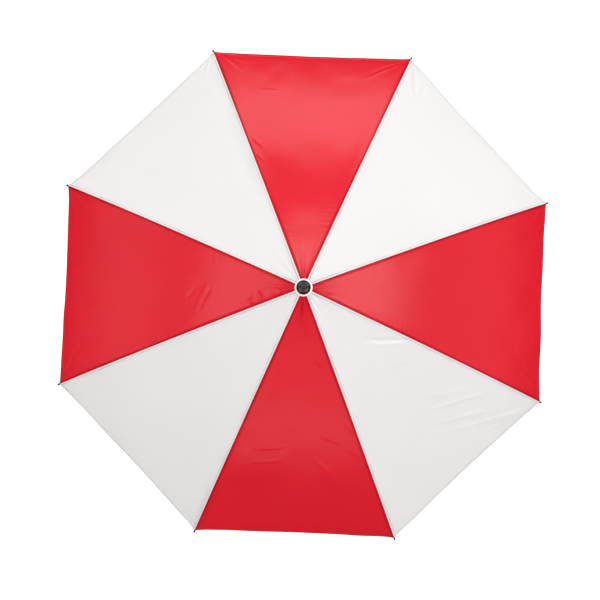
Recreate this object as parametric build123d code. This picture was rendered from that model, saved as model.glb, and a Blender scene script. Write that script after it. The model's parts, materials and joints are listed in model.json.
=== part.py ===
from build123d import *
import os
from math import atan2, cos, exp, hypot, radians, sin, tan

# A manual golf umbrella, standing upright and open, in millimetres.
# +Z runs up the shaft to the ferrule. The origin is the centre of the handle's flat end.
# Ribs lie at 22.5 + 45 k degrees, so that gore 1, which is red, is centred on +X, and red and
# white gores take turns around the canopy. The catches in the shaft face -Y.

# ---- driving dimensions ---------------------------------------------------------------------
RIB_COUNT = 8
RIB_LENGTH = 750.0            # along the rib, from its pivot in the notch to the end of its tip
RIB_ROOT_SLOPE = 15.0         # degrees below level at the notch
RIB_TIP_SLOPE = 47.0          # degrees below level at the tip
RIB_RADIUS = 1.9              # solid fibreglass rod
PIVOT_RADIUS = 13.0           # shaft axis to the ring of rib pivots, the same in the runner
NOTCH_Z = 935.0               # height of the rib pivots
JOINER_STATION = 330.0        # along the rib, from its pivot to the stretcher's joiner
JOINER_DROP = 6.5             # from the rib's centreline down to the stretcher's rivet
FOLD_ANGLE = 58.0             # how far each rib turns down, from open to closed, in degrees

SHAFT_RADIUS = 7.0
SHAFT_WALL = 1.0
SHAFT_BOTTOM_Z = 20.0
SHAFT_TOP_Z = 980.0
FERRULE_TOP_Z = 1010.0

HANDLE_RADIUS = 16.5
HANDLE_LENGTH = 158.0
FIT_GAP = 0.1                 # between a rod and the socket it is glued into

# ---- smaller dimensions, in groups by piece --------------------------------------------------
CROWN_RADIUS = 16.0           # the slotted rings of the notch and of the runner
CROWN_BELOW = 4.5
CROWN_ABOVE = 4.0
CROWN_SLOT_WIDTH = 2.4
CROWN_SLOT_FLOOR = 10.2       # radius at which a slot ends
WIRE_RADIUS = 0.6             # the wire ring that every eye turns on
WIRE_GROOVE_HALF = 0.7
WIRE_GAP_ANGLE = 6.0          # where the ring's two ends meet

EYE_RADIUS = 2.4
EYE_HOLE_RADIUS = 0.9
TAB_THICKNESS = 1.6           # of the flat tab behind an eye
TAB_HEIGHT = 3.0
SOCKET_START = 7.0            # from the pivot to the crimped socket on a rib
SOCKET_END = 25.0
SOCKET_RADIUS = 2.7
ROD_START = 10.0

JOINER_HALF_LENGTH = 8.0
JOINER_RADIUS = 3.0
LUG_THICKNESS = 1.8
RIVET_RADIUS = 1.0
RIVET_HOLE_RADIUS = 1.1
RIVET_HEAD_RADIUS = 1.9
RIVET_HEAD_THICKNESS = 0.8

ROD_END = 738.0
TIP_START = 724.0             # the tip's barrel is pushed over the rod's end
TIP_BARREL_END = 743.0
TIP_RADIUS = 2.5
TIP_NECK_RADIUS = 1.6
TIP_BALL_RADIUS = 2.6
TIP_EYE_STATION = 740.6       # the canopy's corner is sewn through this eye
TIP_EYE_RADIUS = 0.6

STRETCHER_WIDTH = 4.0
STRETCHER_HEIGHT = 3.6
STRETCHER_GAUGE = 0.9
STRETCHER_WEB_START = 6.0     # from the rivet to the start of the channel's web
STRETCHER_TAB_LENGTH = 16.0
STRETCHER_CHANNEL_GAP = 9.0   # from the runner's pivot to the end of the channel

RUNNER_BORE = 7.3
RUNNER_SLEEVE_RADIUS = 11.0
RUNNER_RIDGE_RADIUS = 12.0
RUNNER_LENGTH_BELOW = 63.0    # from the stretcher pivots down to the sleeve's end
RIDGE_COUNT = 4               # finger ridges around the sleeve
RIDGE_PITCH = 5.0
RIDGE_SLOPE = 0.8
RIDGE_FLAT = 1.2
FIRST_RIDGE = 4.0             # above the sleeve's end
BRIDGE_HEIGHT = 3.0           # the closed end of the keyway, which a catch holds
KEYWAY_RADIUS = 9.7
KEYWAY_HALF_WIDTH = 1.7
WINDOW_HEIGHT = 18.0

CATCH_PIN_RADIUS = 1.0
CATCH_GAUGE = 1.0
CATCH_WIDTH = 2.4
CATCH_SHOULDER = 30.0         # from the pin to the shoulder that holds the runner
CATCH_END = 44.0
CATCH_NOSE_RADIUS = 9.2       # from the shaft axis to the top of the nose
CATCH_PLAY = 0.3              # between the shoulder and the runner
SLOT_HALF_WIDTH = 1.5         # of the slot in the shaft that a catch comes out of
SLOT_BEFORE_SHOULDER = 2.5
SLOT_PAST_END = 3.0

CLOTH_LIFT = 4.0              # of the cloth's middle surface above the ribs' centrelines
CLOTH_LIFT_AT_HUB = 3.0       # added at the hub, where the cloth lies on the notch
CLOTH_LIFT_FADE = 15.0
CLOTH_THICKNESS = 0.6
CLOTH_START = -3.0            # stations along the rib
CLOTH_END = 735.0
HEM_HOLLOW = 3.0              # how far the hem's middle pulls in between two tips
GORE_GAP = 0.4                # between the two halves of a gore, and to the next gore

SHAFT_FIT = 0.05              # between the shaft and the pieces pressed on it
NOTCH_PIN_RADIUS = 0.8
NOTCH_PIN_DROP = 2.7          # from the rib pivots down to the notch's pin
STOP_PIN_RADIUS = 1.0
STOP_PIN_GAP = 0.5            # between the open runner and the pin that stops it

ROSETTE_RADIUS = 19.6         # the washer over the cloth
ROSETTE_UNDER_Z = 5.2         # of its rim, above the rib pivots
ROSETTE_DISH = 4.1            # how much higher its middle is
ROSETTE_THICKNESS = 1.2
INNER_ROSETTE_THICKNESS = 0.9

FERRULE_FOOT_RADIUS = 16.0
FERRULE_FOOT_Z = 8.0          # of the foot's rim, above the rib pivots
FERRULE_FOOT_THICKNESS = 2.4
FERRULE_SOCKET_Z = 10.7       # of its middle's underside, above the rib pivots
FERRULE_WAIST_RADIUS = 10.4
FERRULE_TIP_RADIUS = 8.6

CORE_RADIUS = 9.5             # the handle's plastic core, inside the foam
CORE_ABOVE_GRIP = 8.0
GRIP_CHAMFER = 1.5
COLLAR_HEIGHT = 12.0
COLLAR_TOP_RADIUS = 10.6
CAP_HEIGHT = 12.0
CAP_PLUG_HEIGHT = 6.0

STRAP_RIB = 6                 # the tie strap hangs under this rib
STRAP_START = 560.0
STRAP_END = 715.0
STRAP_WIDTH = 18.0
STRAP_THICKNESS = 1.0
STRAP_LIFT = -8.0
SNAP_RADIUS = 5.5
SNAP_THICKNESS = 1.6
SNAP_INSETS = (14.0, -12.0)   # of the snap's halves, from the strap's start and end

# ---- what follows from them ------------------------------------------------------------------
HALF_GORE_ANGLE = 180.0 / RIB_COUNT
RIB_BEND = RIB_TIP_SLOPE - RIB_ROOT_SLOPE
RIB_ARC_RADIUS = RIB_LENGTH / radians(RIB_BEND)
ARC_CENTRE_X = PIVOT_RADIUS - RIB_ARC_RADIUS * sin(radians(RIB_ROOT_SLOPE))
ARC_CENTRE_Z = NOTCH_Z - RIB_ARC_RADIUS * cos(radians(RIB_ROOT_SLOPE))


def slope_at(station):
    """Degrees below level of a rib at a distance along it from its pivot."""
    return RIB_ROOT_SLOPE + RIB_BEND * station / RIB_LENGTH


def rib_point(station, lift=0.0):
    """Distance from the shaft axis and height of a point on, or square above, a rib."""
    slope = radians(slope_at(station))
    radius = RIB_ARC_RADIUS + lift
    return ARC_CENTRE_X + radius * sin(slope), ARC_CENTRE_Z + radius * cos(slope)


JOINER_X, JOINER_Z = rib_point(JOINER_STATION, -JOINER_DROP)
RUNNER_Z = 2 * JOINER_Z - NOTCH_Z           # a rib's inner length equals its stretcher's
STRETCHER_LENGTH = hypot(JOINER_X - PIVOT_RADIUS, JOINER_Z - RUNNER_Z)
OPEN_RISE = atan2(JOINER_Z - RUNNER_Z, JOINER_X - PIVOT_RADIUS)
CLOSED_RISE = OPEN_RISE + radians(FOLD_ANGLE)
CLOSED_RUNNER_Z = NOTCH_Z - 2 * STRETCHER_LENGTH * sin(CLOSED_RISE)


# ---- helpers ---------------------------------------------------------------------------------
def side_plane(x, z, slope):
    """A plane standing on +X: its x runs outward and down by the slope, its y squarely up."""
    direction = Vector(cos(radians(slope)), 0, -sin(radians(slope)))
    return Plane(origin=(x, 0, z), x_dir=direction, z_dir=(0, -1, 0))


def rib_plane(station, lift=0.0):
    x, z = rib_point(station, lift)
    return side_plane(x, z, slope_at(station))


def plate(plane, outline, thickness):
    """A flat plate, centred across the plane it is drawn on."""
    return extrude(plane * outline, amount=thickness / 2, both=True)


def rod(radius, start, end, plane):
    """A round bar along the plane's x axis."""
    return plane * Pos((start + end) / 2, 0, 0) * Rot(0, 90, 0) * Cylinder(radius, end - start)


def cross_pin(radius, length, z, axis_turn=0.0):
    """A round pin through the shaft, level, along X or turned about Z."""
    return Pos(0, 0, z) * Rot(0, 0, axis_turn) * Rot(0, 90, 0) * Cylinder(radius, length)


def block(x_range, y_range, z_range):
    size = [high - low for low, high in (x_range, y_range, z_range)]
    middle = [(high + low) / 2 for low, high in (x_range, y_range, z_range)]
    return Pos(*middle) * Box(*size)


def turned(outline_points):
    """A solid of revolution about Z from points given as distance from the axis and height."""
    return revolve(Plane.XZ * make_face(Polyline(*outline_points, close=True)), Axis.Z)


def along_rib(section, start, end, lift=0.0):
    """A section, drawn across the rib, carried along the rib's arc between two stations."""
    path = Plane.XZ * CenterArc(
        (ARC_CENTRE_X, ARC_CENTRE_Z), RIB_ARC_RADIUS + lift, 90 - slope_at(start),
        slope_at(start) - slope_at(end))
    x, z = rib_point(start, lift)
    slope = radians(slope_at(start))
    across = Plane(origin=(x, 0, z), x_dir=(0, 1, 0), z_dir=(cos(slope), 0, -sin(slope)))
    return sweep(across * section, path=path)


def rib_azimuth(index):
    return HALF_GORE_ANGLE + (index - 1) * 360.0 / RIB_COUNT


def gore_azimuth(index):
    return (index - 1) * 360.0 / RIB_COUNT


def put_at(azimuth, solids):
    """Turns pieces modelled on the +X side to their place around the shaft."""
    return [Rot(0, 0, azimuth) * solid for solid in solids]


def write(node, solids):
    solids = solids if isinstance(solids, list) else [solids]
    shape = solids[0] if len(solids) == 1 else Compound(children=solids)
    export_step(shape, f"parts/{node}.step")


# ---- the shaft and what is fixed to it -------------------------------------------------------
def catch_pin_z(lower):
    """Height of a catch's pin. The upper catch hangs from its pin, the lower one stands on it."""
    if lower:
        held_face = CLOSED_RUNNER_Z - RUNNER_LENGTH_BELOW + BRIDGE_HEIGHT + CATCH_PLAY
        return held_face - CATCH_SHOULDER
    return RUNNER_Z - RUNNER_LENGTH_BELOW - CATCH_PLAY + CATCH_SHOULDER


NOTCH_PIN_Z = NOTCH_Z - NOTCH_PIN_DROP
STOP_PIN_Z = RUNNER_Z + CROWN_ABOVE + STOP_PIN_GAP + STOP_PIN_RADIUS


def shaft_tube():
    length = SHAFT_TOP_Z - SHAFT_BOTTOM_Z
    middle = (SHAFT_TOP_Z + SHAFT_BOTTOM_Z) / 2
    tube = Pos(0, 0, middle) * Cylinder(SHAFT_RADIUS, length)
    tube -= Pos(0, 0, middle) * Cylinder(SHAFT_RADIUS - SHAFT_WALL, length)
    for lower in (False, True):
        pin_z = catch_pin_z(lower)
        toward_nose = 1 if lower else -1
        reaches = (CATCH_SHOULDER - SLOT_BEFORE_SHOULDER, CATCH_END + SLOT_PAST_END)
        slot_ends = sorted(pin_z + toward_nose * reach for reach in reaches)
        tube -= block((-SLOT_HALF_WIDTH, SLOT_HALF_WIDTH), (-SHAFT_RADIUS - 1, 0), slot_ends)
        tube -= cross_pin(CATCH_PIN_RADIUS, 3 * SHAFT_RADIUS, pin_z)
    tube -= cross_pin(STOP_PIN_RADIUS, 3 * SHAFT_RADIUS, STOP_PIN_Z)
    tube -= cross_pin(NOTCH_PIN_RADIUS, 3 * SHAFT_RADIUS, NOTCH_PIN_Z)
    return tube


def slotted_crown(z, bore):
    """A ring with a slot for each eye and a groove, open outward, for the wire ring."""
    height = CROWN_ABOVE + CROWN_BELOW
    middle = z + (CROWN_ABOVE - CROWN_BELOW) / 2
    crown = Pos(0, 0, middle) * Cylinder(CROWN_RADIUS, height)
    crown -= Pos(0, 0, middle) * Cylinder(bore, height)
    groove = Cylinder(CROWN_RADIUS + 1, 2 * WIRE_GROOVE_HALF)
    groove -= Cylinder(PIVOT_RADIUS - WIRE_RADIUS - FIT_GAP, 2 * WIRE_GROOVE_HALF)
    crown -= Pos(0, 0, z) * groove
    half = CROWN_SLOT_WIDTH / 2
    slot = block((CROWN_SLOT_FLOOR, CROWN_RADIUS + 1), (-half, half), (z - 10, z + 10))
    for index in range(1, RIB_COUNT + 1):
        crown -= Rot(0, 0, rib_azimuth(index)) * slot
    return crown


def wire_ring(z):
    section = Plane.XZ * Pos(PIVOT_RADIUS, z) * Circle(WIRE_RADIUS)
    ring = revolve(section, Axis.Z, revolution_arc=360 - WIRE_GAP_ANGLE)
    return Rot(0, 0, WIRE_GAP_ANGLE / 2) * ring


def top_notch():
    notch = slotted_crown(NOTCH_Z, SHAFT_RADIUS + SHAFT_FIT)
    return notch - cross_pin(NOTCH_PIN_RADIUS, 3 * CROWN_RADIUS, NOTCH_PIN_Z)


def rosettes():
    """The washers under and over the middle of the cloth."""
    bore = SHAFT_RADIUS + SHAFT_FIT
    inner_z = NOTCH_Z + CROWN_ABOVE + 0.1
    inner = Cylinder(CROWN_RADIUS - 3, INNER_ROSETTE_THICKNESS)
    inner -= Cylinder(bore, 2 * INNER_ROSETTE_THICKNESS)
    inner = Pos(0, 0, inner_z + INNER_ROSETTE_THICKNESS / 2) * inner
    rim_z = NOTCH_Z + ROSETTE_UNDER_Z
    outer = turned([
        (bore, rim_z + ROSETTE_DISH),
        (ROSETTE_RADIUS, rim_z),
        (ROSETTE_RADIUS, rim_z + 0.8),
        (ROSETTE_RADIUS - 2, rim_z + 1.8),
        (bore, rim_z + ROSETTE_DISH + ROSETTE_THICKNESS),
    ])
    return inner, outer


def ferrule():
    """A solid cap on the shaft's end: a wide foot on the rosette and a long rounded tip."""
    foot_z = NOTCH_Z + FERRULE_FOOT_Z
    under_z = NOTCH_Z + FERRULE_SOCKET_Z
    dome_z = FERRULE_TOP_Z - FERRULE_TIP_RADIUS
    foot_edge = (FERRULE_FOOT_RADIUS, foot_z + FERRULE_FOOT_THICKNESS)
    shoulder = (FERRULE_WAIST_RADIUS + 2, foot_z + 9)
    waist = (FERRULE_WAIST_RADIUS, foot_z + 22)
    dome_edge = (FERRULE_TIP_RADIUS, dome_z)
    outline = Polyline((0, under_z), (SHAFT_RADIUS, under_z), (FERRULE_FOOT_RADIUS, foot_z), foot_edge)
    outline += Spline(foot_edge, shoulder, waist)
    outline += Line(waist, dome_edge)
    outline += RadiusArc(dome_edge, (0, FERRULE_TOP_Z), -FERRULE_TIP_RADIUS)
    outline += Line((0, FERRULE_TOP_Z), (0, under_z))
    body = revolve(Plane.XZ * make_face(outline), Axis.Z)
    socket_height = SHAFT_TOP_Z - NOTCH_Z + 2
    socket = Pos(0, 0, NOTCH_Z + socket_height / 2) * Cylinder(SHAFT_RADIUS + SHAFT_FIT, socket_height)
    return body - socket


def handle_core():
    """The plastic tube glued to the shaft, with a lip under the shaft's end."""
    bore = SHAFT_RADIUS + SHAFT_FIT
    top = HANDLE_LENGTH + CORE_ABOVE_GRIP
    bottom = CAP_HEIGHT + 0.2
    lip_top = SHAFT_BOTTOM_Z - 0.2
    return turned([
        (bore, top),
        (CORE_RADIUS, top),
        (CORE_RADIUS, bottom),
        (bore - 2, bottom),
        (bore - 2, lip_top),
        (bore, lip_top),
    ])


def handle_grip():
    """The foam sleeve that the hand holds."""
    bore = CORE_RADIUS + SHAFT_FIT
    bottom = CAP_HEIGHT + 0.3
    return turned([
        (bore, bottom),
        (bore, HANDLE_LENGTH),
        (HANDLE_RADIUS - GRIP_CHAMFER, HANDLE_LENGTH),
        (HANDLE_RADIUS, HANDLE_LENGTH - GRIP_CHAMFER),
        (HANDLE_RADIUS, bottom),
    ])


def handle_collar():
    """The tapered ring that closes the top of the grip."""
    bottom = HANDLE_LENGTH + 0.1
    top = HANDLE_LENGTH + COLLAR_HEIGHT
    step = HANDLE_LENGTH + CORE_ABOVE_GRIP + 0.1
    wide_bore = CORE_RADIUS + SHAFT_FIT
    narrow_bore = SHAFT_RADIUS + 2 * SHAFT_FIT
    return turned([
        (wide_bore, bottom),
        (HANDLE_RADIUS - 1, bottom),
        (HANDLE_RADIUS - 1.5, bottom + 3),
        (COLLAR_TOP_RADIUS, top),
        (narrow_bore, top),
        (narrow_bore, step),
        (wide_bore, step),
    ])


def handle_cap():
    """The flat end of the handle, with a plug that goes up inside the core."""
    rim = HANDLE_RADIUS - 0.3
    plug_radius = SHAFT_RADIUS + SHAFT_FIT - 2.1
    return turned([
        (0, 0),
        (rim - 1.7, 0),
        (rim, 1.7),
        (rim, CAP_HEIGHT),
        (plug_radius, CAP_HEIGHT),
        (plug_radius, CAP_HEIGHT + CAP_PLUG_HEIGHT),
        (0, CAP_HEIGHT + CAP_PLUG_HEIGHT),
    ])


def leaf_catch(lower):
    """A bent strip of spring steel, with a rolled eye on its pin and a nose that holds the runner."""
    leaf_y = -(EYE_RADIUS - CATCH_GAUGE / 2)
    nose_y = -(CATCH_NOSE_RADIUS - CATCH_GAUGE / 2)
    shoulder = CATCH_SHOULDER + CATCH_GAUGE / 2
    spine = Polyline((0, leaf_y), (shoulder, leaf_y), (shoulder, nose_y), (shoulder + 2, nose_y),
                     (CATCH_END, leaf_y - 2), (CATCH_END, leaf_y + 1))
    outline = trace(spine, line_width=CATCH_GAUGE) + Circle(EYE_RADIUS) - Circle(CATCH_PIN_RADIUS + 0.1)
    toward_nose = 1 if lower else -1
    plane = Plane(origin=(0, 0, catch_pin_z(lower)), x_dir=(0, 0, toward_nose), z_dir=(-toward_nose, 0, 0))
    return extrude(plane * outline, amount=CATCH_WIDTH / 2, both=True)


# ---- the runner ------------------------------------------------------------------------------
def runner():
    """The sliding sleeve. A catch's nose runs in its keyway and snaps out past the bridge."""
    bottom = RUNNER_Z - RUNNER_LENGTH_BELOW
    top = RUNNER_Z + CROWN_ABOVE
    sleeve_top = RUNNER_Z - CROWN_BELOW
    points = [(RUNNER_BORE, bottom), (RUNNER_SLEEVE_RADIUS, bottom)]
    for ridge in range(RIDGE_COUNT):
        low = bottom + FIRST_RIDGE + ridge * RIDGE_PITCH
        high = low + 2 * RIDGE_SLOPE + RIDGE_FLAT
        points += [(RUNNER_SLEEVE_RADIUS, low), (RUNNER_RIDGE_RADIUS, low + RIDGE_SLOPE),
                   (RUNNER_RIDGE_RADIUS, high - RIDGE_SLOPE), (RUNNER_SLEEVE_RADIUS, high)]
    points += [(RUNNER_SLEEVE_RADIUS, sleeve_top - 6), (CROWN_RADIUS - 1.5, sleeve_top),
               (RUNNER_BORE, sleeve_top)]
    body = turned(points) + slotted_crown(RUNNER_Z, RUNNER_BORE)
    keyway_bottom = bottom + BRIDGE_HEIGHT
    across = (-KEYWAY_HALF_WIDTH, KEYWAY_HALF_WIDTH)
    body -= block(across, (-KEYWAY_RADIUS, 0), (keyway_bottom, top + 1))
    body -= block(across, (-RUNNER_RIDGE_RADIUS - 1, 0), (keyway_bottom, keyway_bottom + WINDOW_HEIGHT))
    return body


# ---- one rib, its fittings and its stretcher, modelled on +X ---------------------------------
def rib():
    return along_rib(Circle(RIB_RADIUS), ROD_START, ROD_END)


def root_socket():
    """The metal end crimped on a rib: a flat eye on the notch's wire, and a socket for the rod."""
    outline = Circle(EYE_RADIUS) + Pos(SOCKET_START / 2, 0) * Rectangle(SOCKET_START + 1, TAB_HEIGHT)
    eye = plate(rib_plane(0), outline - Circle(EYE_HOLE_RADIUS), TAB_THICKNESS)
    middle = (SOCKET_START + SOCKET_END) / 2
    half = (SOCKET_END - SOCKET_START) / 2
    tube = rod(SOCKET_RADIUS, -half, half, rib_plane(middle))
    tube -= rod(RIB_RADIUS + FIT_GAP, ROD_START - middle - 0.1, half + 1, rib_plane(middle))
    return eye + tube


def joiner():
    """The clip on the rib, with a lug below it for the stretcher's rivet."""
    plane = rib_plane(JOINER_STATION)
    clip = rod(JOINER_RADIUS, -JOINER_HALF_LENGTH, JOINER_HALF_LENGTH, plane)
    neck = Pos(0, -JOINER_DROP / 2) * Rectangle(2 * EYE_RADIUS, JOINER_DROP)
    lug = neck + Pos(0, -JOINER_DROP) * Circle(EYE_RADIUS)
    lug -= Pos(0, -JOINER_DROP) * Circle(RIVET_RADIUS)
    clip += plate(plane, lug, LUG_THICKNESS)
    return clip - rod(RIB_RADIUS + FIT_GAP, -JOINER_HALF_LENGTH, JOINER_HALF_LENGTH, plane)


def rivet():
    plane = rib_plane(JOINER_STATION, -JOINER_DROP)
    shank = plate(plane, Circle(RIVET_RADIUS), STRETCHER_WIDTH + 0.4)
    head = Circle(RIVET_HEAD_RADIUS)
    for side in (1, -1):
        inner_face = side * (STRETCHER_WIDTH / 2 + 0.1)
        shank += extrude(plane.offset(inner_face) * head, amount=side * RIVET_HEAD_THICKNESS)
    return shank


def rib_tip():
    """The moulded tip on the rib's end: a barrel with an eye, a neck and a round nub."""
    plane = rib_plane(TIP_EYE_STATION)
    barrel_start = TIP_START - TIP_EYE_STATION
    barrel_end = TIP_BARREL_END - TIP_EYE_STATION
    ball_centre = RIB_LENGTH - TIP_BALL_RADIUS - TIP_EYE_STATION
    barrel = rod(TIP_RADIUS, barrel_start, barrel_end, plane)
    barrel -= rod(RIB_RADIUS + FIT_GAP, barrel_start, ROD_END + FIT_GAP - TIP_EYE_STATION, plane)
    barrel -= plate(plane, Circle(TIP_EYE_RADIUS), 3 * TIP_RADIUS)
    neck = rod(TIP_NECK_RADIUS, barrel_end, ball_centre, plane)
    return barrel + neck + plane * Pos(ball_centre, 0, 0) * Sphere(TIP_BALL_RADIUS)


def stretcher():
    """A steel channel: a fork on the joiner's rivet, and a flat eye on the runner's wire."""
    run = Vector(PIVOT_RADIUS - JOINER_X, 0, RUNNER_Z - JOINER_Z).normalized()
    plane = Plane(origin=(JOINER_X, 0, JOINER_Z), x_dir=run, z_dir=(0, -1, 0))
    channel_end = STRETCHER_LENGTH - STRETCHER_CHANNEL_GAP
    height = STRETCHER_HEIGHT
    side_outline = Circle(EYE_RADIUS) + Pos(channel_end / 2, 0) * Rectangle(channel_end, height)
    side_outline -= Circle(RIVET_HOLE_RADIUS)
    body = plate(plane, side_outline, STRETCHER_WIDTH)
    inner_width = STRETCHER_WIDTH - 2 * STRETCHER_GAUGE
    fork_gap = Pos(STRETCHER_WEB_START / 2 - 2, 0) * Rectangle(STRETCHER_WEB_START + 4, 2 * height)
    body -= plate(plane, fork_gap, inner_width)
    tab_start = STRETCHER_LENGTH - STRETCHER_TAB_LENGTH
    hollow_length = tab_start - STRETCHER_WEB_START
    hollow_middle = STRETCHER_WEB_START + hollow_length / 2
    hollow = Pos(hollow_middle, STRETCHER_GAUGE) * Rectangle(hollow_length, height)
    body -= plate(plane, hollow, inner_width)
    tab_length = STRETCHER_CHANNEL_GAP + 1
    tab = Pos(STRETCHER_LENGTH - tab_length / 2, 0) * Rectangle(tab_length, TAB_HEIGHT)
    tab += Pos(STRETCHER_LENGTH, 0) * Circle(EYE_RADIUS)
    tab -= Pos(STRETCHER_LENGTH, 0) * Circle(EYE_HOLE_RADIUS)
    return body + plate(plane, tab, TAB_THICKNESS)


# ---- the canopy ------------------------------------------------------------------------------
def cloth_strip(below=0.0):
    """The canopy's side view on +X, as a thin face: every gore is this, carried straight across."""
    step_count = 14
    stations = [CLOTH_START + (CLOTH_END + 3 - CLOTH_START) * (i / step_count) ** 1.6
                for i in range(step_count + 1)]
    shrink = cos(radians(HALF_GORE_ANGLE))
    lower = []
    for station in stations:
        hub_lift = CLOTH_LIFT_AT_HUB * exp(-(station - CLOTH_START) / CLOTH_LIFT_FADE)
        x, z = rib_point(station, CLOTH_LIFT)
        lower.append((x * shrink, z + hub_lift - below - CLOTH_THICKNESS / 2))
    upper = [(x, z + CLOTH_THICKNESS) for x, z in lower]
    outline = Spline(*lower) + Line(lower[-1], upper[-1]) + Spline(*upper) + Line(upper[0], lower[0])
    return make_face(Plane.XZ * outline)


def half_gore(side):
    """Half of one gore, from its middle line to its seam over a rib. Side 1 is towards +Y."""
    reach = 300.0
    strip = extrude(cloth_strip(), amount=-side * reach)
    rise = tan(radians(HALF_GORE_ANGLE))
    corner_x = rib_point(CLOTH_END, CLOTH_LIFT)[0] * cos(radians(HALF_GORE_ANGLE))
    corner_y = corner_x * rise - GORE_GAP
    middle_x = corner_x - HEM_HOLLOW
    inner = (2 * GORE_GAP / rise, side * GORE_GAP)
    middle = (middle_x, side * GORE_GAP)
    corner = (corner_x, side * corner_y)
    halfway = (middle_x + HEM_HOLLOW / 4, side * corner_y / 2)
    outline = Line(inner, middle) + ThreePointArc(middle, halfway, corner) + Line(corner, inner)
    prism = extrude(make_face(outline), amount=NOTCH_Z + 100)
    return strip & prism


# ---- the tie strap, which hangs under one rib ------------------------------------------------
def tie_strap():
    return along_rib(Rectangle(STRAP_WIDTH, STRAP_THICKNESS), STRAP_START, STRAP_END, STRAP_LIFT)


def strap_snaps():
    """The two halves of the snap fastener, one near each end of the strap."""
    lift = STRAP_LIFT - STRAP_THICKNESS / 2 - 0.1 - SNAP_THICKNESS / 2
    halves = []
    for end, inset in zip((STRAP_START, STRAP_END), SNAP_INSETS):
        plane = rib_plane(end + inset, lift)
        halves.append(plane * Rot(90, 0, 0) * Cylinder(SNAP_RADIUS, SNAP_THICKNESS))
    return halves


# ---- the hand-in: one STEP file per node -----------------------------------------------------
def main():
    os.makedirs("parts", exist_ok=True)
    inner_rosette, outer_rosette = rosettes()
    catch_pins = [cross_pin(CATCH_PIN_RADIUS, 2 * SHAFT_RADIUS - 0.2, catch_pin_z(lower))
                  for lower in (False, True)]
    single_nodes = {
        "shaft_tube": shaft_tube(),
        "top_notch": top_notch(),
        "notch_wire": wire_ring(NOTCH_Z),
        "notch_pin": cross_pin(NOTCH_PIN_RADIUS, 2 * CROWN_RADIUS - 3, NOTCH_PIN_Z),
        "inner_rosette": inner_rosette,
        "outer_rosette": outer_rosette,
        "ferrule": ferrule(),
        "stop_pin": cross_pin(STOP_PIN_RADIUS, 2 * SHAFT_RADIUS + 4, STOP_PIN_Z),
        "catch_pins": catch_pins,
        "upper_catch": leaf_catch(lower=False),
        "lower_catch": leaf_catch(lower=True),
        "runner": runner(),
        "runner_wire": wire_ring(RUNNER_Z),
        "handle_core": handle_core(),
        "handle_grip": handle_grip(),
        "handle_collar": handle_collar(),
        "handle_cap": handle_cap(),
        "tie_strap": put_at(rib_azimuth(STRAP_RIB), [tie_strap()]),
        "strap_snaps": put_at(rib_azimuth(STRAP_RIB), strap_snaps()),
    }
    for node, solids in single_nodes.items():
        write(node, solids)

    rib_rod = rib()
    fittings = [root_socket(), joiner(), rivet(), rib_tip()]
    stretcher_bar = stretcher()
    halves = {"left": half_gore(1), "right": half_gore(-1)}
    for index in range(1, RIB_COUNT + 1):
        azimuth = rib_azimuth(index)
        write(f"rib_{index}", put_at(azimuth, [rib_rod]))
        write(f"rib_fittings_{index}", put_at(azimuth, fittings))
        write(f"stretcher_{index}", put_at(azimuth, [stretcher_bar]))
        colour = "red" if index % 2 else "white"
        for side, half in halves.items():
            write(f"{colour}_gore_{index}_{side}", put_at(gore_azimuth(index), [half]))


main()
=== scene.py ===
import json
import math

import bpy
import numpy as np
from mathutils import Matrix, Vector


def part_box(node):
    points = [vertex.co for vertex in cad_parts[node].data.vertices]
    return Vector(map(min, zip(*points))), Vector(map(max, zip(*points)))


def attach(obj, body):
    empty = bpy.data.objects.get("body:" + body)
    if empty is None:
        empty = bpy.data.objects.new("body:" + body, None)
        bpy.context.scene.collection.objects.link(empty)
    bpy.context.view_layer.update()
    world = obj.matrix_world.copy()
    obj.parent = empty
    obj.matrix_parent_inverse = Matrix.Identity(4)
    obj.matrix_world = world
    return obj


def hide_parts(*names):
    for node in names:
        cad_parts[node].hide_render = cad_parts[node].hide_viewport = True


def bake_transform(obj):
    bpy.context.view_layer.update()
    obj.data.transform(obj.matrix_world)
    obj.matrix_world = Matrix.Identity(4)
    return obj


# A golf umbrella, open, seen from straight above. Lengths are in metres. The places of the ribs,
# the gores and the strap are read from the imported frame. The canopy, its thread and its tie strap
# are built here in place of the plain CAD cloth; the hard parts are the CAD's own, with materials.

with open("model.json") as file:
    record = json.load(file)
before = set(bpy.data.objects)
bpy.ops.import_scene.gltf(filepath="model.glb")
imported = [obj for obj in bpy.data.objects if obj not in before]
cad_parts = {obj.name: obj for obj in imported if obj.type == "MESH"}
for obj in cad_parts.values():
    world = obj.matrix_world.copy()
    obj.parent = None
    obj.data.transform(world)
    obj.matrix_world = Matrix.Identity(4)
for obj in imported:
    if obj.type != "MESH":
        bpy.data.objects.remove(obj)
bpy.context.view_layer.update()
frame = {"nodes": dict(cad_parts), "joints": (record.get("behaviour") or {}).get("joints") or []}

# ---- driving dimensions of the cloth ---------------------------------------------------------
GORE_COUNT = 8
HALF_GORE = math.pi / GORE_COUNT      # angle from a gore's middle line to its seam
CLOTH_START = 0.0                     # along the rib, from its pivot
CLOTH_SHORT_OF_TIP = 0.015            # from the tip's end back to the canopy's corner
CLOTH_LIFT = 0.0040                   # above the rib's centreline
HUB_LIFT = 0.0030                     # added over the notch
HUB_FADE = 0.015                      # and how far out along the rib it fades
CLOTH_THICKNESS = 0.0003
HEM_WIDTH = 0.0085
HEM_HOLLOW = 0.0032                   # how far the hem pulls in between two tips
SAG = 0.0012                          # how far a gore's middle dips between ribs, at the hem
SEAM_ALLOWANCE = 0.0052               # width of the cloth turned in at a seam
SEAM_RIDGE = 0.0015                   # the seam stands proud where it runs over its rib
SEAM_STEP = 0.0005                    # white cloth is folded over red in every seam
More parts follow.
